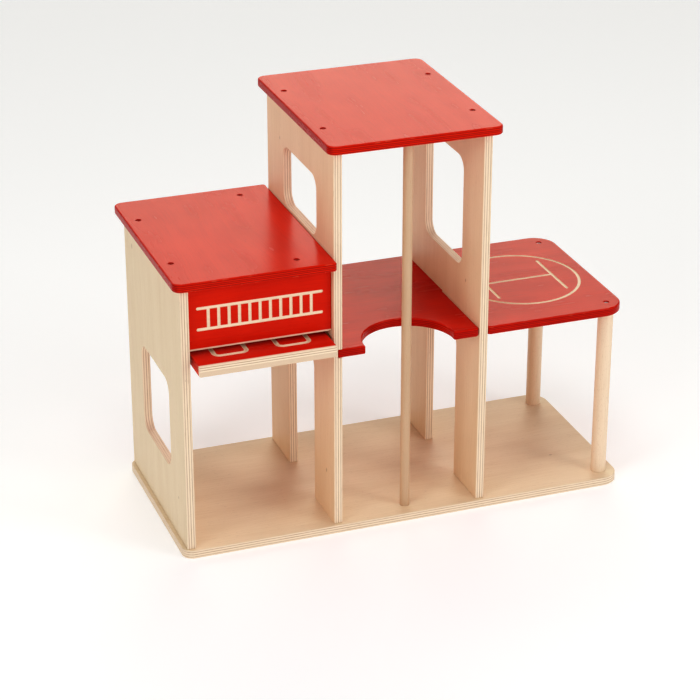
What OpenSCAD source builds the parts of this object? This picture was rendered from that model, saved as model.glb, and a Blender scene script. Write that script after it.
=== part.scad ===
// Wooden toy fire station: a garage, a tower with a sliding pole and a helipad deck
// on one base plate. Units are millimetres, +Z is up and the garage opens towards -Y.

/* [Base plate] */
// Width of the base plate
base_w = 479; // [390:1:620]
// Depth of the base plate
base_d = 210; // [170:1:270]
// Corner radius at the garage end
base_garage_r = 11; // [4:1:16]
// Corner radius at the helipad end
base_helipad_r = 20; // [4:1:30]

/* [Plywood boards] */
// Thickness of every plywood board
board_t = 9; // [7:0.5:12]
// Distance from the edge of the base plate to the walls
wall_inset = 4; // [2:0.5:8]
// Corner radius of the roofs
roof_r = 9; // [3:1:14]
// Corner radius of the roof corners that meet the tower wall
roof_inner_r = 3; // [1:0.5:6]
// Overhang of the roofs over the outer wall faces
roof_side = 8; // [4:0.5:14]
// Overhang of the roofs at the front and at the rear
roof_end = 11.5; // [4:0.5:18]

/* [Heights above the base plate] */
// Height of the garage walls
garage_h = 283; // [240:1:340]
// Height of the tower walls above their windows
tower_header_h = 44; // [20:1:80]
// Height of the underside of the deck
deck_h = 185; // [150:1:200]

/* [Widths] */
// Clear width of the garage
garage_w = 146; // [120:1:180]
// Clear width of the tower
tower_w = 146; // [120:1:180]

/* [Openings] */
// Width of the windows, from front to rear
window_w = 101; // [80:1:125]
// Corner radius of the windows and doorways
opening_r = 14; // [4:1:20]
// Height of the sill of the garage window
garage_sill_h = 66; // [40:1:80]
// Height of the garage window
garage_window_h = 96; // [60:1:115]
// Gap from the garage roof to the sill of the inner tower window
inner_sill_gap = 2; // [1:0.5:10]
// Height of the inner tower window
inner_window_h = 63; // [40:1:80]
// Height of the sill of the outer tower window above the deck
outer_sill_h = 47; // [20:1:60]
// Width of the doorways
doorway_w = 81; // [60:1:100]
// Height from the top of the doorways to the underside of the deck
doorway_header_h = 23; // [14:1:60]

/* [Deck and helipad] */
// Corner radius of the helipad
deck_r = 24; // [6:1:30]
// Distance from the edge of the base plate to the end of the deck
deck_inset = 1; // [0:0.5:6]
// Radius of the cut-out around the sliding pole
cutout_r = 47; // [30:1:52]
// Distance from the front of the deck to the centre of the cut-out
cutout_inset = 3; // [0:0.5:6]
// Distance of the cut-out to the left of the sliding pole
cutout_shift = 1.5; // [0:0.5:4]
// Rounding where the slot for the outer tower wall opens
slot_entry_r = 4; // [1:0.5:5]
// Gap between the helipad ring and the nearest edge
ring_margin = 14; // [8:1:30]
// Width of the routed lines
line_w = 3; // [2:0.5:5]
// Depth of the routed lines
line_depth = 0.7; // [0.5:0.1:1.2]
// Reach of the helipad letter as a share of the ring radius
letter_reach = 0.6; // [0.4:0.05:0.7]

/* [Pole and posts] */
// Diameter of the sliding pole
pole_d = 10; // [8:0.5:14]
// Distance from the wall fronts to the axis of the sliding pole
pole_inset = 15; // [10:1:25]
// Depth of the blind holes that hold the pole
pole_socket = 4; // [2:0.5:5]
// Diameter of the helipad posts
post_d = 16; // [12:0.5:22]
// Distance from the deck edges to the post axes
post_inset = 16.5; // [12:0.5:30]

/* [Sign and rear rail] */
// Height of the sign panel
sign_h = 70; // [50:1:85]
// Height of the rear rail
rail_h = 40; // [20:1:55]
// Distance of the sign and the rail behind the wall edges
rail_recess = 6; // [3:0.5:12]
// Margin between the routed ladder and the ends of the sign
ladder_margin = 9; // [4:1:25]
// Height of the routed ladder on the sign
ladder_h = 25; // [16:1:34]
// Height of the ladder centre above the lower edge of the sign
ladder_rise = 33; // [25:1:45]
// Number of ladder rungs
ladder_rungs = 11; // [5:2:15]

/* [Garage door] */
// Thickness of the door
door_t = 12; // [9:0.5:15]
// Gap between the door and each wall
door_side_gap = 3; // [2:0.5:5]
// Gap between the open door and the sign
door_top_gap = 4.5; // [4:0.5:8]
// Gap between the closed door and the base plate
door_floor_gap = 1.5; // [1:0.5:4]
// Distance from the rear edge of the walls to the pins of the open door
pin_rear_gap = 21; // [10:1:40]
// Length of the door behind the pin axis
door_tail = 7; // [5.5:0.5:7.5]
// Columns of routed panels on the door
panel_cols = 2; // [1:1:3]
// Rows of routed panels on the door
panel_rows = 3; // [1:1:4]
// Margin between the routed panels and the sides of the door
panel_side_margin = 19.5; // [12:0.5:26]
// Margin between the routed panels and the ends of the door
panel_end_margin = 16; // [12:1:26]
// Gap between the columns of routed panels
panel_col_gap = 27; // [10:1:40]
// Gap between the rows of routed panels
panel_row_gap = 14; // [10:1:30]
// Corner radius of the routed panels
panel_r = 8; // [4:1:12]
// Width of the routed lines around the panels
panel_line_w = 4.5; // [3:0.5:6]
// Width of the deeper middle of these lines
panel_core_w = 1.2; // [0.6:0.2:2]
// Depth of the middle of these lines
panel_core_depth = 1.6; // [1.3:0.1:2]

/* [Door pins] */
// Diameter of the door pins
pin_d = 5; // [4:0.5:6]
// Length of pin inside the door
pin_hold = 20; // [10:1:30]
// Length of pin inside the wall groove
pin_reach = 4; // [3:0.5:5]
// Gap around the pins in the wall grooves
groove_gap = 0.5; // [0.2:0.1:0.8]

/* [Screws] */
// Diameter of the screw heads
head_d = 5.6; // [5:0.1:7]
// Height of the screw heads
head_h = 2; // [1.5:0.1:3]
// Diameter of the screw shanks
shank_d = 3; // [2.5:0.1:4]
// Length of the screws under the head
screw_l = 22; // [18:1:30]
// Depth of the screw heads below the board faces
head_sink = 1.2; // [0.5:0.1:2]
// Distance between the roof screws from front to rear
roof_screw_span = 118; // [80:1:150]
// Distance from the tower wall to the screws in the sign and the rail
rail_screw_inset = 34; // [20:1:60]

/* [Hidden] */
$fn = 64;
EPS = 0.01;
// clearance of a dowel in its hole, and of a screw in its holes, on the diameter
dowel_fit = 0.1;
screw_fit = 0.2;
// width and depth of the cross recess of a screw
cross_w = 0.9;
cross_depth = 1;

// walls and boards
wall_d = base_d - 2 * wall_inset;
front_y = wall_inset;
rear_y = base_d - wall_inset;
mid_y = base_d / 2;
left_x = wall_inset;
inner_x = left_x + board_t + garage_w;
outer_x = inner_x + board_t + tower_w;
floor_z = board_t;
garage_z = floor_z + garage_h;
deck_z = floor_z + deck_h;
roof_d = wall_d + 2 * roof_end;

// windows and doorways of the tower, and the height of its walls
inner_sill = garage_h + board_t + inner_sill_gap;
window_top = inner_sill + inner_window_h;
outer_sill = deck_h + board_t + outer_sill_h;
doorway_h = deck_h - doorway_header_h;
tower_h = window_top + tower_header_h;
tower_z = floor_z + tower_h;

// deck, pole and posts
dado = board_t / 2;
deck_x = inner_x + board_t - dado;
deck_end_x = base_w - deck_inset;
deck_w = deck_end_x - deck_x;
pad_x = outer_x + board_t;
pad_w = deck_end_x - pad_x;
ring_r = min(pad_w, wall_d) / 2 - ring_margin;
letter_half = ring_r * letter_reach;
pole_x = inner_x + board_t + tower_w / 2;
pole_y = front_y + pole_inset;
post_x = deck_end_x - post_inset;
post_ys = [front_y + post_inset, rear_y - post_inset];

// sign, rail and garage door
sign_y = front_y + rail_recess;
rail_y = rear_y - rail_recess - board_t;
ladder_l = garage_w - 2 * ladder_margin;
door_w = garage_w - 2 * door_side_gap;
door_x = left_x + board_t + door_side_gap;
door_top_z = garage_z - sign_h - door_top_gap;
pin_z = door_top_z - door_t / 2;
door_reach = pin_z - floor_z - door_floor_gap;
pin_open_y = rear_y - pin_rear_gap;
pin_shut_y = sign_y + board_t / 2;
door_front_y = pin_open_y - door_reach;
panel_row_w = door_w - 2 * panel_side_margin;
panel_w = (panel_row_w - (panel_cols - 1) * panel_col_gap) / panel_cols;
panel_col_l = door_reach - 2 * panel_end_margin;
panel_l = (panel_col_l - (panel_rows - 1) * panel_row_gap) / panel_rows;
groove_d = pin_d + 2 * groove_gap;
groove_depth = pin_reach + groove_gap;

// screws
screw_seat = head_sink + head_h;
pilot_l = screw_l - (board_t - screw_seat) + 1;
roof_screw_ys = [mid_y - roof_screw_span / 2, mid_y + roof_screw_span / 2];
rail_screw_x = inner_x - rail_screw_inset;
rail_screw_ys = [sign_y + board_t / 2, rail_y + board_t / 2];
leg_span = (wall_d + doorway_w) / 2;
leg_ys = [mid_y - leg_span / 2, mid_y + leg_span / 2];

// the origin is the bottom centre of the whole station with its door open
origin_x = (min(0, left_x - roof_side) + base_w) / 2;
station_front_y = min(0, front_y - roof_end, door_front_y);
station_rear_y = max(base_d, rear_y + roof_end);
origin_y = (station_front_y + station_rear_y) / 2;

// ---- shared shapes ----

// moves a piece from the front left corner of the base plate to the origin
module place() {
    translate([-origin_x, -origin_y, 0]) children();
}

// flat outline with one corner radius at its left end, or 0, and one at its right end
module rounded_outline(w, d, left_r, right_r) {
    translate([left_r, 0]) square([w - left_r - right_r, d]);
    if (left_r > 0) {
        translate([0, left_r]) square([left_r, d - 2 * left_r]);
        for (y = [left_r, d - left_r]) translate([left_r, y]) circle(left_r);
    }
    translate([w - right_r, right_r]) square([right_r, d - 2 * right_r]);
    for (y = [right_r, d - right_r]) translate([w - right_r, y]) circle(right_r);
}

// horizontal board with rounded corners
module board(w, d, left_r, right_r) {
    linear_extrude(board_t) rounded_outline(w, d, left_r, right_r);
}

// stands an outline up: its x runs along Y, its y runs up, its thickness along X
module upright(t) {
    rotate([90, 0, 90]) linear_extrude(t) children();
}

// window outline, centred from front to rear on the wall
module window_outline(sill, top) {
    translate([(wall_d - window_w) / 2, sill])
        rounded_outline(window_w, top - sill, opening_r, opening_r);
}

// doorway outline, open at the bottom and rounded at the top
module doorway_outline() {
    translate([(wall_d - doorway_w) / 2, -board_t])
        rounded_outline(doorway_w, doorway_h + board_t, opening_r, opening_r);
    translate([(wall_d - doorway_w) / 2, -board_t])
        square([doorway_w, board_t + opening_r]);
}

// groove in a wall face that carries a door pin, starting at the face x
module pin_groove(x) {
    translate([x, 0, pin_z]) rotate([0, 90, 0]) {
        for (y = [pin_shut_y, pin_open_y])
            translate([0, y, 0]) cylinder(d = groove_d, h = groove_depth);
        translate([-groove_d / 2, pin_shut_y, 0])
            cube([groove_d, pin_open_y - pin_shut_y, groove_depth]);
    }
}

// round line with a square section, cut by difference
module ring_line(r) {
    difference() {
        cylinder(r = r + line_w / 2, h = 2 * line_depth, center = true);
        cylinder(r = r - line_w / 2, h = 3 * line_depth, center = true);
    }
}

// straight line with round ends along X, centred
module straight_line(l) {
    cube([l, line_w, 2 * line_depth], center = true);
    for (side = [-1, 1])
        translate([side * l / 2, 0, 0])
            cylinder(d = line_w, h = 2 * line_depth, center = true);
}

// block with rounded corners that lies a distance inside a panel, centred on its face
module panel_block(inside, depth) {
    r = max(panel_r - inside, 0.5);
    translate([inside - panel_w / 2, inside - panel_l / 2, -depth])
        linear_extrude(2 * depth)
            rounded_outline(panel_w - 2 * inside, panel_l - 2 * inside, r, r);
}

// line around a panel, cut a distance inside its outer size
module panel_cut(inside, line, depth) {
    difference() {
        panel_block(inside, depth);
        panel_block(inside + line, 2 * depth);
    }
}

// the whole line around a panel: a broad cut with a deeper middle
module panel_line() {
    panel_cut(0, panel_line_w, line_depth);
    panel_cut((panel_line_w - panel_core_w) / 2, panel_core_w, panel_core_depth);
}

// screw with its head at the top and its tip down; z = 0 is the face of the board
module screw() {
    color("silver") {
        difference() {
            translate([0, 0, -screw_seat]) cylinder(d = head_d, h = head_h);
            for (turn = [0, 90])
                rotate([0, 0, turn])
                    translate([0, 0, -head_sink])
                        cube([head_d * 0.6, cross_w, 2 * cross_depth], center = true);
        }
        translate([0, 0, -screw_seat - screw_l]) cylinder(d = shank_d, h = screw_l + EPS);
    }
}

// hole in a board for a screw; z = 0 is the face of the board
module screw_hole() {
    translate([0, 0, -screw_seat]) cylinder(d = head_d + 2 * screw_fit, h = screw_seat + 1);
    translate([0, 0, -board_t - 1]) cylinder(d = shank_d + screw_fit, h = board_t + 1);
}

// hole for the screw tip in the piece below a board
module pilot_hole() {
    translate([0, 0, -pilot_l]) cylinder(d = shank_d + screw_fit, h = pilot_l + 1);
}

// puts the children at x and at each y, on the height z
module at_each(x, ys, z) {
    for (y = ys) translate([x, y, z]) children();
}

// turns a screw or a hole over, so that it comes from below
module from_below() {
    rotate([180, 0, 0]) children();
}

// ---- boards ----

module base_plate() {
    color("burlywood") place() difference() {
        board(base_w, base_d, base_garage_r, base_helipad_r);
        translate([pole_x, pole_y, floor_z - pole_socket])
            cylinder(d = pole_d + dowel_fit, h = pole_socket + 1);
        for (x = [left_x, inner_x, outer_x])
            at_each(x + board_t / 2, leg_ys, 0) from_below() screw_hole();
        at_each(post_x, post_ys, 0) from_below() screw_hole();
    }
}

module left_wall() {
    color("wheat") place() difference() {
        translate([left_x, front_y, floor_z]) upright(board_t) difference() {
            square([wall_d, garage_h]);
            window_outline(garage_sill_h, garage_sill_h + garage_window_h);
        }
        pin_groove(left_x + board_t - groove_depth);
        at_each(left_x + board_t / 2, roof_screw_ys, garage_z) pilot_hole();
        at_each(left_x + board_t / 2, leg_ys, floor_z) from_below() pilot_hole();
    }
}

module middle_wall() {
    color("wheat") place() difference() {
        translate([inner_x, front_y, floor_z]) upright(board_t) difference() {
            square([wall_d, tower_h]);
            window_outline(inner_sill, window_top);
            doorway_outline();
        }
        translate([deck_x, front_y - 1, deck_z]) cube([dado + 1, wall_d + 2, board_t]);
        pin_groove(inner_x);
        at_each(inner_x + board_t / 2, roof_screw_ys, tower_z) pilot_hole();
        at_each(inner_x + board_t / 2, leg_ys, floor_z) from_below() pilot_hole();
    }
}

module right_wall() {
    color("wheat") place() difference() {
        translate([outer_x, front_y, floor_z]) upright(board_t) difference() {
            square([wall_d, tower_h]);
            window_outline(outer_sill, window_top);
            doorway_outline();
        }
        translate([outer_x - 1, mid_y, deck_z]) cube([board_t + 2, wall_d, board_t]);
        at_each(outer_x + board_t / 2, roof_screw_ys, tower_z) pilot_hole();
        at_each(outer_x + board_t / 2, leg_ys, floor_z) from_below() pilot_hole();
    }
}

module garage_roof() {
    roof_x = left_x - roof_side;
    color("firebrick") place() difference() {
        translate([roof_x, front_y - roof_end, garage_z])
            board(inner_x - roof_x, roof_d, roof_r, roof_inner_r);
        at_each(left_x + board_t / 2, roof_screw_ys, garage_z + board_t) screw_hole();
        at_each(rail_screw_x, rail_screw_ys, garage_z + board_t) screw_hole();
    }
}

module tower_roof() {
    roof_x = inner_x - roof_side;
    roof_w = outer_x + board_t + roof_side - roof_x;
    color("firebrick") place() difference() {
        translate([roof_x, front_y - roof_end, tower_z])
            board(roof_w, roof_d, roof_r, roof_r);
        for (x = [inner_x, outer_x])
            at_each(x + board_t / 2, roof_screw_ys, tower_z + board_t) screw_hole();
        translate([pole_x, pole_y, tower_z - 1])
            cylinder(d = pole_d + dowel_fit, h = pole_socket + 1);
    }
}

// slot for the outer tower wall, with its two front corners rounded
module deck_slot() {
    translate([outer_x, front_y - 1, -1]) cube([board_t, wall_d / 2 + 1, board_t + 2]);
    for (side = [-1, 1]) {
        edge_x = outer_x + board_t / 2 + side * board_t / 2;
        translate([edge_x, front_y, -1]) difference() {
            translate([side > 0 ? -EPS : -slot_entry_r, -EPS, 0])
                cube([slot_entry_r + EPS, slot_entry_r + EPS, board_t + 2]);
            translate([side * slot_entry_r, slot_entry_r, -1])
                cylinder(r = slot_entry_r, h = board_t + 4);
        }
    }
}

// routed ring with a letter H inside, the usual marking of a landing place
module helipad_lines() {
    ring_line(ring_r);
    for (side = [-1, 1])
        translate([side * letter_half, 0, 0]) rotate([0, 0, 90]) straight_line(2 * letter_half);
    straight_line(2 * letter_half);
}

module upper_deck() {
    color("firebrick") place() difference() {
        translate([deck_x, front_y, deck_z]) board(deck_w, wall_d, 0, deck_r);
        translate([pole_x - cutout_shift, front_y + cutout_inset, deck_z - 1])
            cylinder(r = cutout_r, h = board_t + 2, $fn = 128);
        translate([0, 0, deck_z]) deck_slot();
        translate([pad_x + pad_w / 2, mid_y, deck_z + board_t]) helipad_lines();
        at_each(post_x, post_ys, deck_z + board_t) screw_hole();
    }
}

// routed ladder lying on its side: two rails and evenly spaced rungs
module ladder_lines() {
    rail_z = (ladder_h - line_w) / 2;
    rung_step = (ladder_l - line_w) / (ladder_rungs + 1);
    for (side = [-1, 1]) translate([0, side * rail_z, 0]) straight_line(ladder_l - line_w);
    for (i = [1 : ladder_rungs])
        translate([-(ladder_l - line_w) / 2 + i * rung_step, 0, 0])
            cube([line_w, 2 * rail_z, 2 * line_depth], center = true);
}

module sign_panel() {
    color("firebrick") place() difference() {
        translate([left_x + board_t, sign_y, garage_z - sign_h])
            cube([garage_w, board_t, sign_h]);
        translate([left_x + board_t + garage_w / 2, sign_y, garage_z - sign_h + ladder_rise])
            rotate([90, 0, 0]) ladder_lines();
        translate([rail_screw_x, rail_screw_ys[0], garage_z]) pilot_hole();
    }
}

module rear_rail() {
    color("wheat") place() difference() {
        translate([left_x + board_t, rail_y, garage_z - rail_h])
            cube([garage_w, board_t, rail_h]);
        translate([rail_screw_x, rail_screw_ys[1], garage_z]) pilot_hole();
    }
}

// ---- round pieces ----

module slide_pole() {
    color("wheat") place()
        translate([pole_x, pole_y, floor_z - pole_socket])
            cylinder(d = pole_d, h = tower_h + 2 * pole_socket);
}

// post between the base plate and the deck, with a screw hole at each end
module helipad_post(y) {
    color("wheat") place() difference() {
        translate([post_x, y, floor_z]) cylinder(d = post_d, h = deck_h);
        translate([post_x, y, deck_z]) pilot_hole();
        translate([post_x, y, floor_z]) from_below() pilot_hole();
    }
}

// ---- garage door ----

module garage_door() {
    first_x = door_x + panel_side_margin + panel_w / 2;
    first_y = door_front_y + panel_end_margin + panel_l / 2;
    color("firebrick") place() difference() {
        translate([door_x, door_front_y, pin_z - door_t / 2])
            cube([door_w, door_reach + door_tail, door_t]);
        for (col = [0 : panel_cols - 1], row = [0 : panel_rows - 1])
            translate([first_x + col * (panel_w + panel_col_gap),
                       first_y + row * (panel_l + panel_row_gap), pin_z + door_t / 2])
                panel_line();
        for (x = [door_x - 1, door_x + door_w - pin_hold])
            translate([x, pin_open_y, pin_z]) rotate([0, 90, 0])
                cylinder(d = pin_d + dowel_fit, h = pin_hold + 1);
    }
}

// pin from the inside of the door, across the gap and into the wall groove
module door_pin(x) {
    color("wheat") place()
        translate([x, pin_open_y, pin_z]) rotate([0, 90, 0])
            cylinder(d = pin_d, h = pin_hold + door_side_gap + pin_reach);
}

// ---- screws ----

module top_screw(x, y, z) {
    place() translate([x, y, z + board_t]) screw();
}

module base_screw(x, y) {
    place() translate([x, y, 0]) from_below() screw();
}

// ---- the nodes ----

base_plate();
left_wall();
middle_wall();
right_wall();
garage_roof();
tower_roof();
upper_deck();
sign_panel();
rear_rail();
slide_pole();
helipad_post(post_ys[0]);  // post_front
helipad_post(post_ys[1]);  // post_rear
garage_door();
door_pin(door_x - door_side_gap - pin_reach);  // door_pin_left
door_pin(door_x + door_w - pin_hold);  // door_pin_right
top_screw(left_x + board_t / 2, roof_screw_ys[0], garage_z);  // garage_roof_screw_1
top_screw(left_x + board_t / 2, roof_screw_ys[1], garage_z);  // garage_roof_screw_2
top_screw(rail_screw_x, rail_screw_ys[0], garage_z);  // garage_roof_screw_3
top_screw(rail_screw_x, rail_screw_ys[1], garage_z);  // garage_roof_screw_4
top_screw(inner_x + board_t / 2, roof_screw_ys[0], tower_z);  // tower_roof_screw_1
top_screw(inner_x + board_t / 2, roof_screw_ys[1], tower_z);  // tower_roof_screw_2
top_screw(outer_x + board_t / 2, roof_screw_ys[0], tower_z);  // tower_roof_screw_3
top_screw(outer_x + board_t / 2, roof_screw_ys[1], tower_z);  // tower_roof_screw_4
top_screw(post_x, post_ys[0], deck_z);  // deck_screw_front
top_screw(post_x, post_ys[1], deck_z);  // deck_screw_rear
base_screw(left_x + board_t / 2, leg_ys[0]);  // base_screw_left_front
base_screw(left_x + board_t / 2, leg_ys[1]);  // base_screw_left_rear
base_screw(inner_x + board_t / 2, leg_ys[0]);  // base_screw_middle_front
base_screw(inner_x + board_t / 2, leg_ys[1]);  // base_screw_middle_rear
base_screw(outer_x + board_t / 2, leg_ys[0]);  // base_screw_right_front
base_screw(outer_x + board_t / 2, leg_ys[1]);  // base_screw_right_rear
base_screw(post_x, post_ys[0]);  // base_screw_post_front
base_screw(post_x, post_ys[1]);  // base_screw_post_rear
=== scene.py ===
"""Looks of a wooden toy fire station: its plywood boards, red boards, dowels, door and screws.

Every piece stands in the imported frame, in metres, +Z up, with the garage opening towards -Y.
"""

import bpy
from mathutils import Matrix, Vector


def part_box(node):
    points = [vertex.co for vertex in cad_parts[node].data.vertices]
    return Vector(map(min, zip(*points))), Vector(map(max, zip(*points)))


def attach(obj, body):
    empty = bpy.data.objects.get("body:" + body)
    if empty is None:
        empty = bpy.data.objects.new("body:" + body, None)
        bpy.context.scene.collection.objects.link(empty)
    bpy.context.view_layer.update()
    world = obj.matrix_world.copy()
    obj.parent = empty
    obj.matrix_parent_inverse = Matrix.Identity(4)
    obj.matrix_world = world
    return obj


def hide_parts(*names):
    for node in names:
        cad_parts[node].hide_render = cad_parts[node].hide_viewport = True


bl_info = {
    "name": "Wooden toy fire station",
    "version": (1, 0, 0),
    "blender": (4, 5, 0),
    "location": "3D View > Sidebar > Fire station",
    "description": "Builds and finishes the boards, dowels, door and screws of a toy fire station",
    "category": "Object",
}

import math
from collections import namedtuple

import bmesh
import bpy
from bpy.props import FloatProperty, FloatVectorProperty, PointerProperty
from bpy.types import Operator, Panel, PropertyGroup
from mathutils import Vector

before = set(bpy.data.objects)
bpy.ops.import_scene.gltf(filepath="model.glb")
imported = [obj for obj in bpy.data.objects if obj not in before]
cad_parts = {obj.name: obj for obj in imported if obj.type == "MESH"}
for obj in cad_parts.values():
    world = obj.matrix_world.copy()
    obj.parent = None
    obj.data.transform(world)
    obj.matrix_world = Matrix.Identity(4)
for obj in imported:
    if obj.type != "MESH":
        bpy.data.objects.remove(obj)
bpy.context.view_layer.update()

MM = 0.001
X, Y, Z = 0, 1, 2
WHITE = (1.0, 1.0, 1.0, 1.0)

# A board: its node, its body, the axes of its face grain, across the grain and through its plies,
# a shift in millimetres that gives it a figure of its own, its tone from 0, pale, to 1, warm or
# deep, its knots, each as its distances along and across the grain from the board's middle and
# its radius, in millimetres, and the share of its thickness, from below, that is one cross ply.
Board = namedtuple("Board", "node body grain across layer shift tone knots cross_ply",
                   defaults=((), 0))

BASE = Board("base_plate", "station", X, Y, Z, 140, 0.1,
             ((-30, 60, 1.6), (188, -38, 1.2), (95, 80, 1.0)))
WALLS = (
    Board("left_wall", "station", Z, Y, X, 610, 0.0, ((118, 72, 1.8), (-96, -74, 1.1))),
    Board("middle_wall", "station", Z, Y, X, 1130, 0.85, ((-150, -78, 1.5), (160, 60, 1.2))),
    Board("right_wall", "station", Z, Y, X, 1710, 0.6, ((30, -62, 1.3), (170, -20, 1.0))),
)
REAR_RAIL = Board("rear_rail", "station", X, Z, Y, 2290, 0.3, ((40, 6, 1.2),))
ROOFS = (
    Board("garage_roof", "station", Y, X, Z, 2870, 0.0),
    Board("tower_roof", "station", Y, X, Z, 3410, 0.0),
)
DECK = Board("upper_deck", "station", X, Y, Z, 3970, 1.0)
SIGN = Board("sign_panel", "station", X, Z, Y, 4530, 0.0)
DOOR = Board("garage_door", "door", X, Y, Z, 5110, 0.1, cross_ply=0.5)

# The pole and the posts: the shift in millimetres and the tone, from 0, pale, to 1, dark, of each;
# the tones are painted light and shade: pale for the lit front post, dark for the pole in shadow.
DOWELS = (("slide_pole", 0, 0.9), ("post_front", 90, 0.1), ("post_rear", 180, 0.5))
PINS = ("door_pin_left", "door_pin_right")
PIN_SHIFT, PIN_TONE = 40, 0.5


# ---- sizes and colours that a user would change ----

class PlywoodSettings(PropertyGroup):
    """Sizes and colours of the plywood"""
    ply: FloatProperty(
        name="Ply", description="Rough thickness of one ply", default=1.3 * MM, unit="LENGTH")
    line_share: FloatProperty(
        name="Ply line share", description="Share of a cross ply that its dark line takes",
        default=0.55, subtype="FACTOR", min=0.2, max=0.8)
    ease: FloatProperty(
        name="Eased edge", description="Width of the eased outer edges", default=0.8 * MM,
        unit="LENGTH")
    cut_ease: FloatProperty(
        name="Eased cut", description="Width of the eased edges of holes and grooves",
        default=0.18 * MM, unit="LENGTH")
    pale: FloatVectorProperty(
        name="Pale veneer", description="Colour of the palest face veneer", subtype="COLOR",
        size=3, default=(0.80, 0.65, 0.45))
    warm: FloatVectorProperty(
        name="Warm veneer", description="Colour of the warmest face veneer", subtype="COLOR",
        size=3, default=(0.88, 0.62, 0.40))
    cream: FloatVectorProperty(
        name="Cut edge", description="Colour of the plies that lie lengthwise on a cut edge",
        subtype="COLOR", size=3, default=(0.94, 0.78, 0.59))
    end_grain: FloatVectorProperty(
        name="End grain", description="Colour of the plies seen from their ends",
        subtype="COLOR", size=3, default=(0.68, 0.48, 0.32))
    ply_line: FloatVectorProperty(
        name="Ply line", description="Colour of the dark lines of the cross plies",
        subtype="COLOR", size=3, default=(0.40, 0.21, 0.11))
    fleck: FloatVectorProperty(
        name="Fleck", description="Colour of the pores and knots", subtype="COLOR", size=3,
        default=(0.34, 0.19, 0.09))


class RedSettings(PropertyGroup):
    """Sizes and colours of the red boards"""
    ease: FloatProperty(
        name="Eased edge", description="Width of the rounded outer edges", default=1.7 * MM,
        unit="LENGTH")
    line_depth: FloatProperty(
        name="Routed depth", description="Deepest routed line, in which the wood stays bare",
        default=2.0 * MM, unit="LENGTH")
    red: FloatVectorProperty(
        name="Red", description="Colour of the stain on the faces", subtype="COLOR", size=3,
        default=(0.72, 0.016, 0.003))
    # the deep red is the stain in the grain, and also the painted shade on the long sides of the
    # red boards
    stain_and_shade_red: FloatVectorProperty(
        name="Deep red", description="Colour of the stain in the grain and along the plies",
        subtype="COLOR", size=3, default=(0.40, 0.003, 0.002))
    ply_line: FloatVectorProperty(
        name="Ply line", description="Colour of the stained glue lines", subtype="COLOR", size=3,
        default=(0.14, 0.002, 0.001))
    ply: FloatProperty(
        name="Ply", description="Rough thickness of one ply of the red boards",
        default=1.8 * MM, unit="LENGTH")
    line_share: FloatProperty(
        name="Ply line share", description="Share of a ply that its dark lines take",
        default=0.30, subtype="FACTOR", min=0, max=0.5)
    bare_rim: FloatProperty(
        name="Bare rim", description="Width of the bare wood beside an unstained side",
        default=2.3 * MM, unit="LENGTH")
    sheen: FloatVectorProperty(
        name="Sheen", description="Tint of the lacquer's reflections", subtype="COLOR", size=3,
        default=(1.0, 0.92, 0.78))
    worn_red: FloatVectorProperty(
        name="Worn red", description="Colour of the stain where an edge is rubbed",
        subtype="COLOR", size=3, default=(0.72, 0.10, 0.05))


class RoundSettings(PropertyGroup):
    """Sizes and colours of the dowels and the screws"""
    dowel_ease: FloatProperty(
        name="Dowel chamfer", description="Width of the chamfer at the ends of the dowels",
        default=0.4 * MM, unit="LENGTH")
    # the pale and the dark beech are painted light and shade on one wood: the lit front post and
    # the shaded pole
    beech: FloatVectorProperty(
        name="Pale beech", description="Colour of the palest dowel", subtype="COLOR", size=3,
        default=(0.92, 0.74, 0.55))
    painted_shade_beech: FloatVectorProperty(
        name="Dark beech", description="Colour of the darkest dowel", subtype="COLOR", size=3,
        default=(0.59, 0.39, 0.24))
    beech_ray: FloatVectorProperty(
        name="Beech ray", description="Colour of the short dark rays in the dowels",
        subtype="COLOR", size=3, default=(0.50, 0.28, 0.15))
    screw_ease: FloatProperty(
        name="Screw edge", description="Width of the rounded edges of the screw heads",
        default=0.16 * MM, unit="LENGTH")
    steel: FloatVectorProperty(
        name="Steel", description="Colour of the screws", subtype="COLOR", size=3,
        default=(0.74, 0.73, 0.72))
    # the roof screws are coloured dark red and dulled
    dark_red_steel: FloatVectorProperty(
        name="Stained steel", description="Colour of the screws that the red stain has covered",
        subtype="COLOR", size=3, default=(0.40, 0.012, 0.008))


class StageSettings(PropertyGroup):
    """Camera, lights and floor"""
    azimuth: FloatProperty(
        name="Azimuth", description="Direction of the camera; 0 looks along +Y",
        default=math.radians(-19.96), subtype="ANGLE")
    elevation: FloatProperty(
        name="Elevation", description="Height of the camera above the horizon",
        default=math.radians(25.1), subtype="ANGLE")
    distance: FloatProperty(
        name="Distance", description="Distance from the camera to its target", default=2.4,
        unit="LENGTH")
    target: FloatVectorProperty(
        name="Target", description="Point that the camera looks at", size=3, unit="LENGTH",
        default=(-0.0314, -0.0134, 0.1597))
    lens: FloatProperty(
        name="Lens", description="Focal length in millimetres on a 36 mm sensor",
        default=120.5)
    floor: FloatVectorProperty(
        name="Floor", description="Colour of the floor", subtype="COLOR", size=3,
        default=(0.82, 0.82, 0.82))
    ambient: FloatProperty(
        name="Ambient", description="Strength of the light from all round", default=0.28)
    backdrop: FloatProperty(
        name="Backdrop", description="Strength of the bright patch at the rear, which the flat "
        "tops reflect", default=2.45)
    backdrop_colour: FloatVectorProperty(
        name="Backdrop colour", description="Colour of the bright patch at the rear",
        subtype="COLOR", size=3, default=(1.0, 0.95, 0.78))
    top_light: FloatProperty(
        name="Top light", description="Power of the large soft light overhead", default=11.0,
        unit="POWER")
    right_light: FloatProperty(
        name="Right light", description="Power of the soft light at the front right",
        default=12.0, unit="POWER")
    left_light: FloatProperty(
        name="Left light", description="Power of the soft light at the front left",
        default=8.5, unit="POWER")
    floor_glow: FloatProperty(
        name="Floor glow", description="Strength of the light from below the floor paper",
        default=0.27)


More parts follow.
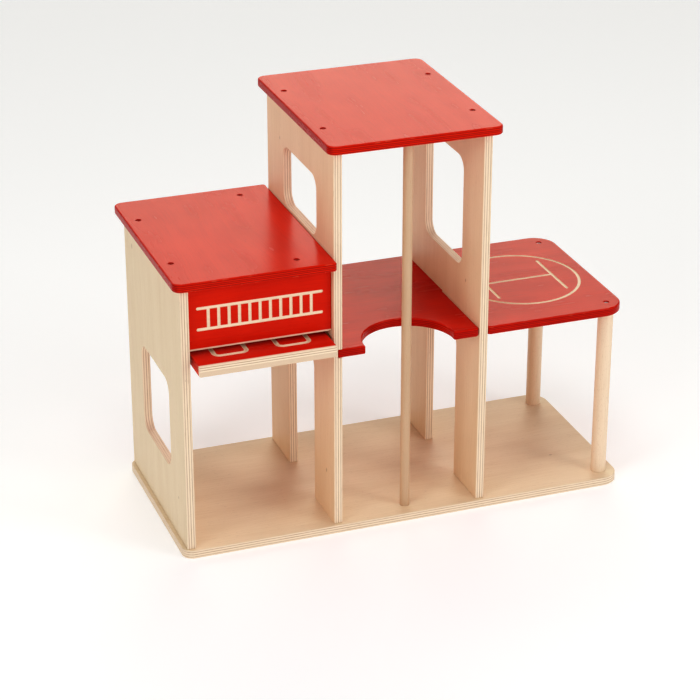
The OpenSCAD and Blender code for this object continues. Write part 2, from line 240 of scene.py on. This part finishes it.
class StationSettings(PropertyGroup):
    """All settings of the fire station"""
    plywood: PointerProperty(type=PlywoodSettings)
    red: PointerProperty(type=RedSettings)
    rounds: PointerProperty(type=RoundSettings)
    stage: PointerProperty(type=StageSettings)


# ---- textures and coats ----

# A texture: its waves for each millimetre along the fibres, across them and through the plies, or
# along X, Y and Z, then the number of its finer octaves and their strength.
Texture = namedtuple("Texture", "waves octaves strength", defaults=(2.0, 0.5))
PLY_WAVE = Texture((0.03, 0.03, 1))
LINE_FADING = Texture((0.05, 0.05, 5.1))
GRAIN_BEND = Texture((0.006, 0.012, 1), 1.0)
FIGURE = Texture((0.0035, 0.055, 3.7), 3.0, 0.55)
FIBRES = Texture((0.022, 0.75, 0.9), 3.0, 0.6)
PORES = Texture((0.16, 1.7, 1.7), 1.0)
END_GRAINS = Texture((1, 1, 1.5), 2.0, 0.7)
STAIN_CLOUD = Texture((0.02, 0.03, 1))
RUBBING = Texture((0.09, 0.09, 0.3), 3.0)
BEECH_FIGURE = Texture((0.12, 0.12, 0.006), 3.0)
BEECH_FIBRES = Texture((1.3, 1.3, 0.03), 3.0, 0.6)
BEECH_RAYS = Texture((2.2, 2.2, 0.35), 1.0)
ZINC_PATCHES = Texture((0.9, 0.9, 0.9), 3.0)
ZINC_SCRATCHES = Texture((9, 1.2, 4))
PAPER_TOOTH = Texture((0.9, 0.9, 1))
PAPER_SHADE = Texture((0.0015, 0.0015, 1), 1.0)

# Where a mask starts to rise from 0, and where it reaches 1.
PORE_STEP = (0.66, 0.76)
RAY_STEP = (0.62, 0.72)
RUB_STEP = (0.56, 0.68)
PATCH_STEP = (0.35, 0.75)
FACING_STEP = (0.45, 0.85)
FLANK_SHADE_STEP = (0.4, 0.8)
CORNER_STEP = (0.35, 0.95)

# How far the fibres bend sideways, in millimetres, and how far the plies swing, in plies.
BEND_REACH = 26
PLY_SWING = 0.2
# The strength of a ply line where it has faded most.
FADED_LINE = 0.1
# How much a knot is drawn out along the fibres, and the share of its width that is solid.
KNOT_STRETCH = 0.45
KNOT_HEART = 0.35

# The palest and the darkest streaks of a material, as shares of its colour.
BIRCH_STREAKS = ((1.06, 1.06, 1.06), (0.88, 0.80, 0.70))
BEECH_STREAKS = ((1.08, 1.08, 1.08), (0.86, 0.78, 0.70))
DULL_ZINC = (0.6, 0.6, 0.6)
# How metallic the screws look: the bare ones, and the dark red ones on the roofs.
BARE_SHINE, DARK_RED_SHINE = 1.0, 0.15
SOFT_PAPER = (0.985, 0.985, 0.985)

# A coat: the roughness of its smoothest places, the depth of its relief and its gloss.
Coat = namedtuple("Coat", "roughness relief gloss")
MATT_LACQUER = Coat(0.46, 0.05 * MM, 0.38)
RED_LACQUER = Coat(0.26, 0.016 * MM, 0.07)
DOWEL_LACQUER = Coat(0.42, 0.05 * MM, 0.4)
ZINC = Coat(0.30, 0.02 * MM, 0.5)
PAPER = Coat(0.72, 0.02 * MM, 0.2)


# ---- materials ----

class Wire:
    """A value that runs through a material, used in plain arithmetic."""

    def __init__(self, finish, socket):
        self.finish = finish
        self.socket = socket

    def __add__(self, other):
        return self.finish.maths("ADD", self, other)

    def __radd__(self, other):
        return self.finish.maths("ADD", other, self)

    def __sub__(self, other):
        return self.finish.maths("SUBTRACT", self, other)

    def __rsub__(self, other):
        return self.finish.maths("SUBTRACT", other, self)

    def __mul__(self, other):
        return self.finish.maths("MULTIPLY", self, other)

    def __rmul__(self, other):
        return self.finish.maths("MULTIPLY", other, self)

    def __truediv__(self, other):
        return self.finish.maths("DIVIDE", self, other)

    def __mod__(self, other):
        return self.finish.maths("MODULO", self, other)

    def __pow__(self, other):
        return self.finish.maths("POWER", self, other)

    def __abs__(self):
        return self.finish.maths("ABSOLUTE", self)

    def floor(self):
        return self.finish.maths("FLOOR", self)

    def fraction(self):
        return self.finish.maths("FRACT", self)

    def within(self, low, high):
        """The value, held between two numbers."""
        return self.finish.maths("MINIMUM", self.finish.maths("MAXIMUM", self, low), high)

    def rise(self, low, high):
        """0 below low and 1 above high, with a smooth step in between."""
        return self.finish.node("ShaderNodeMapRange", {"interpolation_type": "SMOOTHSTEP"},
                                {0: self, 1: low, 2: high})


class Finish:
    """A material, or the light of the surroundings, that is built node by node."""

    def __init__(self, name, of_world=False):
        self.material = (bpy.data.worlds if of_world else bpy.data.materials).new(name)
        self.material.use_nodes = True
        self.tree = self.material.node_tree
        self.tree.nodes.clear()

    def node(self, kind, settings=None, inputs=None, output=0):
        """Adds a node, with its settings first and then its inputs, and returns one output."""
        made = self.tree.nodes.new(kind)
        for name, value in (settings or {}).items():
            setattr(made, name, value)
        for name, value in (inputs or {}).items():
            if isinstance(value, Wire):
                self.tree.links.new(value.socket, made.inputs[name])
            else:
                made.inputs[name].default_value = value
        return Wire(self, made.outputs[output]) if made.outputs else None

    def maths(self, operation, *values):
        """A Math node on one or two values."""
        return self.node("ShaderNodeMath", {"operation": operation}, dict(enumerate(values)))

    def split(self, vector):
        """The three parts of a vector."""
        made = self.node("ShaderNodeSeparateXYZ", inputs={0: vector}).socket.node
        return [Wire(self, part) for part in made.outputs]

    def place(self):
        """X, Y and Z of a point, in the metres of the frame."""
        return self.split(self.node("ShaderNodeTexCoord", output="Object"))

    def noise(self, texture, *place):
        """Smooth noise about 0.5, with the waves of a texture over three values."""
        waves = [part if count == 1 else part * count
                 for part, count in zip(place, texture.waves)]
        point = self.node("ShaderNodeCombineXYZ", inputs=dict(enumerate(waves)))
        return self.node(
            "ShaderNodeTexNoise",
            inputs={"Vector": point, "Scale": 1.0, "Detail": texture.octaves,
                    "Roughness": texture.strength})

    def blend(self, share, first, second):
        """The first colour where share is 0 and the second where it is 1."""
        # a Mix node's factor, two colours and colour result have these numbers
        return self.node("ShaderNodeMix", {"data_type": "RGBA"},
                         {0: share, 6: first, 7: second}, output=2)

    def surface(self, colour, coat, uneven, height, **constants):
        """Ends the material: a shader with its colour, coat, uneven roughness and relief."""
        bump = self.node("ShaderNodeBump", inputs={"Strength": 1.0, "Distance": coat.relief,
                                                   "Height": height})
        inputs = {"Base Color": colour, "Roughness": uneven + coat.roughness, "Normal": bump,
                  "Specular IOR Level": coat.gloss}
        inputs.update({name.replace("_", " "): value for name, value in constants.items()})
        shader = self.node("ShaderNodeBsdfPrincipled", inputs=inputs)
        self.node("ShaderNodeOutputMaterial", inputs={"Surface": shader})
        return self.material


def opaque(colour):
    """A colour with an alpha of 1."""
    return (*colour, 1.0)


def between(first, second, share):
    """The colour at a share of the way from the first to the second."""
    return [start + (end - start) * share for start, end in zip(first, second)]


def shaded(colour, shares):
    """A colour with each of its parts taken at its share, with an alpha of 1."""
    return opaque([min(1, part * share) for part, share in zip(colour, shares)])


def nearest_odd(number):
    """The odd whole number nearest to a number."""
    return 2 * round((number - 1) / 2) + 1


class PlySpace:
    """Where a point lies in a board: along and across the fibres, and in which ply."""

    def __init__(self, finish, board, ply):
        low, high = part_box(board.node)
        middle = (low + high) / 2
        thickness = (high - low)[board.layer]
        thin_share = 1 - board.cross_ply
        place = finish.place()
        normal = finish.split(finish.node("ShaderNodeTexCoord", output="Normal"))
        facing = [abs(part) for part in normal]
        self.board = board
        self.along = (place[board.grain] - middle[board.grain]) / MM
        self.across = (place[board.across] - middle[board.across]) / MM
        self.depth = (place[board.layer] - low[board.layer]) / MM

        # the thin plies are counted from below, and a thick cross ply lies below them
        self.count = nearest_odd(thickness * thin_share / ply)
        swing = finish.noise(PLY_WAVE, self.along, self.across, board.shift) - 0.5
        height = self.depth * (MM / thickness) - board.cross_ply
        layer = height * (self.count / thin_share) + swing * PLY_SWING
        # held just inside the thin plies, or at half a ply within the thick one
        self.layer = layer.within(-0.5 if board.cross_ply else 0.01, self.count - 0.01)
        self.ply = self.layer.floor()
        self.odd = abs(self.ply) % 2
        even = 1 - self.odd
        # 0 in the middle of a ply and 1 where it meets the next
        self.meeting = abs(self.layer.fraction() - 0.5) * 2
        # along and across the fibres, which turn by a quarter from ply to ply
        self.run = self.along * even + self.across * self.odd + board.shift
        self.side = self.across * even + self.along * self.odd + board.shift

        # 1 where the fibres are seen from their ends, on a cut edge, and on the two long sides,
        # which get painted shade
        ends = facing[board.grain] * even + facing[board.across] * self.odd
        self.end = ends.rise(*FACING_STEP)
        face = facing[board.layer]
        self.cut = 1 - face.rise(*FACING_STEP)
        self.painted_flank_shade = facing[board.across].rise(*FLANK_SHADE_STEP)
        # 0 on the faces and the cut edges, 1 in the middle of a rounded edge
        self.corner = (face * (1 - face) * 4).rise(*CORNER_STEP)
        # the ply lines fade and return along a cut edge
        fading = finish.noise(LINE_FADING, self.along, self.across, self.ply)
        self.line_strength = FADED_LINE + fading * (1 - FADED_LINE)

    def glue_lines(self, share):
        """1 where two plies meet inside the board, over a share of a ply."""
        # no line in the outer half of either face ply
        inside = 1 - self.layer.rise(self.count - 0.6, self.count - 0.5)
        if not self.board.cross_ply:
            inside = inside * self.layer.rise(0.5, 0.6)
        return self.meeting.rise(1 - share * 1.6, 1 - share * 0.4) * inside

    def cross_lines(self, share):
        """1 in the middle of each thin cross ply on a cut edge, over a share of the ply."""
        middle = 1 - self.meeting.rise(share - 0.2, share + 0.2)
        return self.odd * middle * self.layer.rise(0.0, 0.1) * self.cut


def fibre_pattern(finish, space):
    """Broad figure, fine fibres and short pores, each from 0 to 1, at real scale."""
    bend = finish.noise(GRAIN_BEND, space.run, space.side, space.ply) - 0.5
    side = space.side + bend * BEND_REACH
    figure = finish.noise(FIGURE, space.run, side, space.ply)
    fibres = finish.noise(FIBRES, space.run, side, space.depth)
    pores = finish.noise(PORES, space.run, side, space.depth)
    return figure, fibres, pores.rise(*PORE_STEP)


def knot_mask(board, space):
    """1 in the small knots of a board, with a soft rim."""
    mask = 0
    for along, across, radius in board.knots:
        off_along = (space.along - along) * KNOT_STRETCH
        off_across = space.across - across
        distance = (off_along * off_along + off_across * off_across) ** 0.5
        mask = mask + (1 - distance.rise(radius * KNOT_HEART, radius))
    return mask


def bare_plywood(board, settings, routed=False):
    """Birch plywood under clear matt lacquer, with its plies on every cut edge."""
    finish = Finish(board.node + ("_routed" if routed else "_birch"))
    space = PlySpace(finish, board, settings.ply)
    figure, fibres, pores = fibre_pattern(finish, space)
    grains = finish.noise(END_GRAINS, space.along, space.across, space.depth)
    lines = space.cross_lines(settings.line_share)
    tone = settings.cream if routed else between(settings.pale, settings.warm, board.tone)
    light, dark = [shaded(tone, shares) for shares in BIRCH_STREAKS]
    cream, end_grain = opaque(settings.cream), opaque(settings.end_grain)
    line, fleck = opaque(settings.ply_line), opaque(settings.fleck)

    streaks = (figure * 1.5 - 0.25) * 0.55 + (fibres - 0.5) * 0.9 + 0.1
    wood = finish.blend(streaks, light, dark)
    wood = finish.blend(space.cut * (0.55 + fibres * 0.5).within(0, 1), wood, cream)
    # a board with a thick cross ply, the door, blends in more end-grain colour, which darkens
    # mainly the lower half of its front edge
    crossing = 0.5 if board.cross_ply else 0.2
    wood = finish.blend(space.end * (crossing + grains * 0.3), wood, end_grain)
    wood = finish.blend(pores * 0.30, wood, fleck)
    wood = finish.blend(lines * space.line_strength, wood, line)
    if board.knots:
        wood = finish.blend(knot_mask(board, space) * 0.75, wood, fleck)
    wood = finish.blend(space.corner * 0.18, wood, dark)
    uneven = fibres * 0.12 + space.end * 0.15
    height = fibres * 0.5 - pores * 0.5 - lines * 0.4 + grains * space.end * 0.6
    return finish.surface(wood, MATT_LACQUER, uneven, height)


def red_plywood(board, settings, bare_side=None):
    """The same plywood under red stain and satin lacquer, with its plies on the edges.

    bare_side is the unstained side, as its axis and its sign: the stain stops just short of it.
    """
    ply, red = settings.plywood, settings.red
    finish = Finish(board.node + "_red")
    space = PlySpace(finish, board, red.ply)
    figure, fibres, pores = fibre_pattern(finish, space)
    cloud = finish.noise(STAIN_CLOUD, space.along, space.across, board.shift)
    lines = space.glue_lines(red.line_share)
    rub = finish.noise(RUBBING, space.along, space.across, space.depth)
    worn = space.corner * rub.rise(*RUB_STEP)
    stain_and_shade_red, line = opaque(red.stain_and_shade_red), opaque(red.ply_line)

    # a warm board has more, and more uneven, deep red on its faces, and less painted shade on its
    # long sides
    uneven_red = 0.45 + board.tone * 0.2
    deep = (figure - 0.35) + (fibres - 0.5) + (cloud - 0.5)
    deep = deep * uneven_red + (0.06 + board.tone * 0.28)
    colour = finish.blend(deep.within(0, 1), opaque(red.red), stain_and_shade_red)
    colour = finish.blend(pores * 0.35, colour, stain_and_shade_red)
    colour = finish.blend(space.end * 0.30, colour, stain_and_shade_red)
    # painted shade: the long sides are darkened towards deep red
    colour = finish.blend(space.painted_flank_shade * (0.65 - board.tone * 0.5), colour, stain_and_shade_red)
    colour = finish.blend(lines * (space.line_strength * 0.6 + 0.5), colour, line)
    colour = finish.blend(worn * 0.5, colour, opaque(red.worn_red))
    if bare_side:
        axis, sign = bare_side
        away = abs(finish.place()[axis] - outer_side(board, axis, sign))
        bare = 1 - away.rise(red.bare_rim * 0.75, red.bare_rim * 1.25)
        wood = finish.blend(fibres * 0.5, opaque(ply.cream), opaque(ply.end_grain))
        colour = finish.blend(bare, colour, wood)
    uneven = (figure - 0.5) * 0.14 + (cloud - 0.5) * 0.08 + worn * 0.12
    height = fibres * 0.7 - lines * 0.6
    return finish.surface(colour, RED_LACQUER, uneven, height, Specular_Tint=opaque(red.sheen))


def beech_dowel(name, settings, shift, tone):
    """Turned beech under clear lacquer, with short dark rays along the grain."""
    finish = Finish(name)
    x, y, z = [part / MM for part in finish.place()]
    x = x + shift
    figure = finish.noise(BEECH_FIGURE, x, y, z)
    fibres = finish.noise(BEECH_FIBRES, x, y, z)
    rays = finish.noise(BEECH_RAYS, x, y, z).rise(*RAY_STEP)
    # painted light and shade: the tone mixes the lit pale beech and the shaded dark beech
    base = between(settings.beech, settings.painted_shade_beech, tone)
    light, dark = [shaded(base, shares) for shares in BEECH_STREAKS]
    wood = finish.blend(figure * 0.7 + (fibres - 0.5) * 0.9, light, dark)
    wood = finish.blend(rays * 0.35, wood, opaque(settings.beech_ray))
    return finish.surface(wood, DOWEL_LACQUER, fibres * 0.14, fibres * 0.6 - rays * 0.4)


def screw_steel(name, steel, shine):
    """Zinc-plated steel, lightly scratched; shine is 1 for bare metal and less for the dark red
    roof screws.
    """
    finish = Finish(name)
    x, y, z = [part / MM for part in finish.place()]
    patches = finish.noise(ZINC_PATCHES, x, y, z)
    scratches = finish.noise(ZINC_SCRATCHES, x, y, z)
    dull = patches.rise(*PATCH_STEP) * 0.5
    colour = finish.blend(dull, opaque(steel), shaded(steel, DULL_ZINC))
    uneven = patches * 0.18 + (scratches - 0.5) * 0.12
    return finish.surface(colour, ZINC, uneven, scratches, Metallic=shine)


def floor_paper(settings):
    """Matt white background paper."""
    finish = Finish("floor_paper")
    x, y, _ = [part / MM for part in finish.place()]
    tooth = finish.noise(PAPER_TOOTH, x, y, 0.0)
    shade = finish.noise(PAPER_SHADE, x, y, 3.0)
    colour = finish.blend(shade, opaque(settings.floor), shaded(settings.floor, SOFT_PAPER))
    return finish.surface(colour, PAPER, tooth * 0.1, tooth, Emission_Color=WHITE,
                          Emission_Strength=settings.floor_glow)


# ---- shapes ----

# Points closer than this are one, and faces that meet at less than this angle are one flat face.
MERGE = 0.001 * MM
FLAT = math.radians(0.5)
# An edge is eased where its faces meet at more than this angle.
SHARP = math.radians(25)
# A face looks along an axis where its normal holds at least this much of it.
SQUARE_ON = 0.99


def cad_copy(node):
    """A mesh in edit form with the shape of a CAD node: whole, and with its flat faces joined."""
    shape = bmesh.new()
    shape.from_mesh(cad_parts[node].data)
    bmesh.ops.remove_doubles(shape, verts=shape.verts, dist=MERGE)
    bmesh.ops.dissolve_limit(shape, angle_limit=FLAT, verts=shape.verts, edges=shape.edges)
    return shape


def span(face, axis):
    """Lowest and highest place of a face along an axis."""
    places = [vert.co[axis] for vert in face.verts]
    return min(places), max(places)


def mark_edges(shape, axis, low, high, small_share):
    """Gives each sharp edge its share of the full easing: outer edges 1, cuts a small share."""
    share = shape.edges.layers.float.new("bevel_weight_edge")
    for edge in shape.edges:
        if len(edge.link_faces) != 2 or edge.calc_face_angle(0) < SHARP:
            continue
        spans = [span(face, axis) for face in edge.link_faces]
        full = any(bottom < low + MERGE and top > high - MERGE for bottom, top in spans)
        edge[share] = 1.0 if full else small_share


def add_piece(name, node, body, shape, width, materials, segments=3):
    """Makes a piece from an edited shape, eases its edges and sets it in the frame."""
    mesh = bpy.data.meshes.new(name)
    shape.to_mesh(mesh)
    shape.free()
    for polygon in mesh.polygons:
        polygon.use_smooth = True
    for material in materials:
        mesh.materials.append(material)
    piece = bpy.data.objects.new(name, mesh)
    bpy.context.scene.collection.objects.link(piece)
    easing = piece.modifiers.new("eased_edges", "BEVEL")
    easing.limit_method = "WEIGHT"
    easing.width = width
    easing.segments = segments
    easing.use_clamp_overlap = False
    easing.loop_slide = False
    normals = piece.modifiers.new("flat_faces", "WEIGHTED_NORMAL")
    normals.weight = 100
    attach(piece, body)
    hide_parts(node)


def add_board(board, ease, cut_ease, materials, is_bare=None):
    """Rebuilds a board from its CAD node; is_bare tells which faces take the second material."""
    low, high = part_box(board.node)
    shape = cad_copy(board.node)
    mark_edges(shape, board.layer, low[board.layer], high[board.layer], cut_ease / ease)
    for face in shape.faces:
        face.material_index = 1 if is_bare and is_bare(face) else 0
    add_piece(board.node + "_board", board.node, board.body, shape, ease, materials)


def add_birch_board(board, settings):
    """A board of bare plywood."""
    ply = settings.plywood
    add_board(board, ply.ease, ply.cut_ease, [bare_plywood(board, ply)])


def outer_side(board, axis, sign):
    """Where a board ends along an axis, in the direction of the sign."""
    low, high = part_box(board.node)
    return high[axis] if sign > 0 else low[axis]


def add_red_board(board, settings, show_side, bare_side=None):
    """A red board: bare wood in its routed lines, and on one side where one is named.

    show_side is the sign of the board's routed face along its thickness, and bare_side is the
    unpainted side, as its axis and its sign.
    """
    show = outer_side(board, board.layer, show_side)

    def is_bare(face):
        depths = [(show - vert.co[board.layer]) * show_side for vert in face.verts]
        routed = max(depths) > MERGE and max(depths) < settings.red.line_depth
        if bare_side is None or routed:
            return routed
        axis, sign = bare_side
        away = abs(face.verts[0].co[axis] - outer_side(board, axis, sign))
        return face.normal[axis] * sign > SQUARE_ON and away < MERGE

    materials = [red_plywood(board, settings, bare_side),
                 bare_plywood(board, settings.plywood, routed=True)]
    add_board(board, settings.red.ease, settings.plywood.cut_ease, materials,
              is_bare)


def add_round(node, body, ease, material):
    """A dowel, a pin or a screw, rebuilt from its CAD node with its sharp edges eased."""
    shape = cad_copy(node)
    share = shape.edges.layers.float.new("bevel_weight_edge")
    for edge in shape.edges:
        if len(edge.link_faces) == 2 and edge.calc_face_angle(0) > SHARP:
            edge[share] = 1.0
    add_piece(node + "_piece", node, body, shape, ease, [material], segments=2)


# ---- operators ----

class FIRE_STATION_OT_stage(Operator):
    """Sets up the floor, the lights and the camera"""
    bl_idname = "fire_station.stage"
    bl_label = "Stage"

    def execute(self, context):
        settings = context.scene.fire_station.stage
        add_floor(settings)
        add_surroundings(settings)
        for name, place, width in LIGHTS:
            add_area_light(name, place, width, getattr(settings, name))
        add_camera(settings)
        context.scene.view_settings.view_transform = "Standard"
        context.scene.view_settings.look = "Medium High Contrast"
        return {"FINISHED"}


class FIRE_STATION_OT_base_plate(Operator):
    """Builds the base plate"""
    bl_idname = "fire_station.base_plate"
    bl_label = "Base plate"

    def execute(self, context):
        add_birch_board(BASE, context.scene.fire_station)
        return {"FINISHED"}


class FIRE_STATION_OT_walls(Operator):
    """Builds the three walls with their windows and doorways"""
    bl_idname = "fire_station.walls"
    bl_label = "Walls"

    def execute(self, context):
        for board in WALLS:
            add_birch_board(board, context.scene.fire_station)
        return {"FINISHED"}


class FIRE_STATION_OT_rear_rail(Operator):
    """Builds the rail under the rear of the garage roof"""
    bl_idname = "fire_station.rear_rail"
    bl_label = "Rear rail"

    def execute(self, context):
        add_birch_board(REAR_RAIL, context.scene.fire_station)
        return {"FINISHED"}


class FIRE_STATION_OT_roofs(Operator):
    """Builds the two red roofs"""
    bl_idname = "fire_station.roofs"
    bl_label = "Roofs"

    def execute(self, context):
        for board in ROOFS:
            add_red_board(board, context.scene.fire_station, 1)
        return {"FINISHED"}


class FIRE_STATION_OT_upper_deck(Operator):
    """Builds the red deck with its routed landing place"""
    bl_idname = "fire_station.upper_deck"
    bl_label = "Upper deck"

    def execute(self, context):
        add_red_board(DECK, context.scene.fire_station, 1)
        return {"FINISHED"}


class FIRE_STATION_OT_sign_panel(Operator):
    """Builds the red sign with its routed ladder and its bare lower edge"""
    bl_idname = "fire_station.sign_panel"
    bl_label = "Sign panel"

    def execute(self, context):
        add_red_board(SIGN, context.scene.fire_station, -1, bare_side=(Z, -1))
        return {"FINISHED"}


class FIRE_STATION_OT_garage_door(Operator):
    """Builds the door with its routed panels and bare front edge, and its two pins"""
    bl_idname = "fire_station.garage_door"
    bl_label = "Garage door"

    def execute(self, context):
        settings = context.scene.fire_station
        add_red_board(DOOR, settings, 1, bare_side=(Y, -1))
        rounds = settings.rounds
        material = beech_dowel("pin_beech", rounds, PIN_SHIFT, PIN_TONE)
        for node in PINS:
            add_round(node, "door_pins", rounds.dowel_ease, material)
        return {"FINISHED"}


class FIRE_STATION_OT_dowels(Operator):
    """Builds the sliding pole and the two posts under the deck"""
    bl_idname = "fire_station.dowels"
    bl_label = "Pole and posts"

    def execute(self, context):
        rounds = context.scene.fire_station.rounds
        for node, shift, tone in DOWELS:
            material = beech_dowel(node + "_beech", rounds, shift, tone)
            add_round(node, "station", rounds.dowel_ease, material)
        return {"FINISHED"}


class FIRE_STATION_OT_screws(Operator):
    """Builds all the screws"""
    bl_idname = "fire_station.screws"
    bl_label = "Screws"

    def execute(self, context):
        rounds = context.scene.fire_station.rounds
        bare = screw_steel("screw_zinc", rounds.steel, BARE_SHINE)
        # the screws on the roofs take the dark red, less metallic colour
        stained = screw_steel("screw_stained", rounds.dark_red_steel, DARK_RED_SHINE)
        for node in sorted(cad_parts):
            if "_screw_" in node:
                material = stained if "_roof_" in node else bare
                add_round(node, "station", rounds.screw_ease, material)
        return {"FINISHED"}


OPERATORS = (
    FIRE_STATION_OT_stage,
    FIRE_STATION_OT_base_plate,
    FIRE_STATION_OT_walls,
    FIRE_STATION_OT_rear_rail,
    FIRE_STATION_OT_roofs,
    FIRE_STATION_OT_upper_deck,
    FIRE_STATION_OT_sign_panel,
    FIRE_STATION_OT_garage_door,
    FIRE_STATION_OT_dowels,
    FIRE_STATION_OT_screws,
)


# ---- the stage ----

# How far the floor reaches from the middle, and how far it lies below the base plate, in metres.
FLOOR_REACH = 12.0
FLOOR_DROP = 0.1 * MM

# The soft square lights: name, place and width of each, and what they all point at.
LIGHTS = (
    ("top_light", (-0.35, -0.55, 2.4), 1.0),
    ("right_light", (1.5, -1.7, 1.25), 0.8),
    ("left_light", (-1.9, -1.1, 1.3), 0.8),
)
LIGHT_TARGET = Vector((0, 0, 0.2))

# Where the bright patch at the rear ends and where it is full, as angles from its middle, and the
# heights between which the pale band along the horizon fades.
PATCH_EDGE, PATCH_CORE = math.radians(26), math.radians(9)
HORIZON_STEP = (0.06, 0.2)

# The width of the camera's sensor, in millimetres, and how far it sees, in metres.
SENSOR_WIDTH = 36
SIGHT_END = 50


def add_floor(settings):
    """A wide level floor under the base plate."""
    shape = bmesh.new()
    bmesh.ops.create_grid(shape, x_segments=8, y_segments=8, size=FLOOR_REACH)
    mesh = bpy.data.meshes.new("floor")
    shape.to_mesh(mesh)
    shape.free()
    mesh.materials.append(floor_paper(settings))
    floor = bpy.data.objects.new("floor", mesh)
    floor.location.z = -FLOOR_DROP
    bpy.context.scene.collection.objects.link(floor)


def toward_camera(settings):
    """The direction from the target to the camera."""
    level = math.cos(settings.elevation)
    return Vector((math.sin(settings.azimuth) * level, -math.cos(settings.azimuth) * level,
                   math.sin(settings.elevation)))


def add_surroundings(settings):
    """Pale light from all round, with a bright patch that the level tops reflect."""
    studio = Finish("studio", of_world=True)
    parts = studio.split(studio.node("ShaderNodeTexCoord", output="Generated"))
    back = toward_camera(settings)
    # the patch lies where a level top mirrors the line of sight
    mirrored = (-back.x, -back.y, back.z)
    toward = parts[X] * mirrored[X] + parts[Y] * mirrored[Y] + parts[Z] * mirrored[Z]
    patch = toward.rise(math.cos(PATCH_EDGE), math.cos(PATCH_CORE))
    horizon = 1 - abs(parts[Z]).rise(*HORIZON_STEP)
    strength = settings.ambient + patch * settings.backdrop + horizon * (1 - settings.ambient)
    colour = studio.blend(patch, WHITE, opaque(settings.backdrop_colour))
    light = studio.node("ShaderNodeBackground", inputs={"Color": colour, "Strength": strength})
    studio.node("ShaderNodeOutputWorld", inputs={"Surface": light})
    bpy.context.scene.world = studio.material


def add_area_light(name, place, width, power):
    """A square soft light at a place, turned towards the toy."""
    light = bpy.data.lights.new(name, "AREA")
    light.shape = "SQUARE"
    light.size = width
    light.energy = power
    lamp = bpy.data.objects.new(name, light)
    lamp.location = place
    away = LIGHT_TARGET - Vector(place)
    lamp.rotation_euler = away.to_track_quat("-Z", "Y").to_euler()
    bpy.context.scene.collection.objects.link(lamp)


def add_camera(settings):
    """The camera, aimed at its target from an azimuth, an elevation and a distance."""
    back = toward_camera(settings)
    data = bpy.data.cameras.new("camera")
    data.lens = settings.lens
    data.sensor_width = SENSOR_WIDTH
    data.clip_end = SIGHT_END
    camera = bpy.data.objects.new("camera", data)
    camera.location = Vector(settings.target) + back * settings.distance
    camera.rotation_euler = (-back).to_track_quat("-Z", "Y").to_euler()
    bpy.context.scene.collection.objects.link(camera)
    bpy.context.scene.camera = camera


# ---- the panel, and the whole run ----

class FIRE_STATION_PT_pieces(Panel):
    """Lists the pieces of the fire station"""
    bl_idname = "FIRE_STATION_PT_pieces"
    bl_label = "Fire station"
    bl_space_type = "VIEW_3D"
    bl_region_type = "UI"
    bl_category = "Fire station"

    def draw(self, context):
        for operator in OPERATORS:
            self.layout.operator(operator.bl_idname)
        settings = context.scene.fire_station
        for group in (settings.plywood, settings.red, settings.rounds, settings.stage):
            box = self.layout.box()
            for name in group.__annotations__:
                box.prop(group, name)


CLASSES = (
    PlywoodSettings,
    RedSettings,
    RoundSettings,
    StageSettings,
    StationSettings,
    *OPERATORS,
    FIRE_STATION_PT_pieces,
)


def register():
    """Makes the settings, the operators and the panel known to Blender."""
    for cls in CLASSES:
        bpy.utils.register_class(cls)
    bpy.types.Scene.fire_station = PointerProperty(type=StationSettings)


def unregister():
    """Takes them away again."""
    del bpy.types.Scene.fire_station
    for cls in reversed(CLASSES):
        bpy.utils.unregister_class(cls)


def main():
    register()
    bpy.ops.fire_station.stage()
    bpy.ops.fire_station.base_plate()
    bpy.ops.fire_station.walls()
    bpy.ops.fire_station.rear_rail()
    bpy.ops.fire_station.roofs()
    bpy.ops.fire_station.upper_deck()
    bpy.ops.fire_station.sign_panel()
    bpy.ops.fire_station.garage_door()
    bpy.ops.fire_station.dowels()
    bpy.ops.fire_station.screws()


if __name__ == "__main__":
    main()
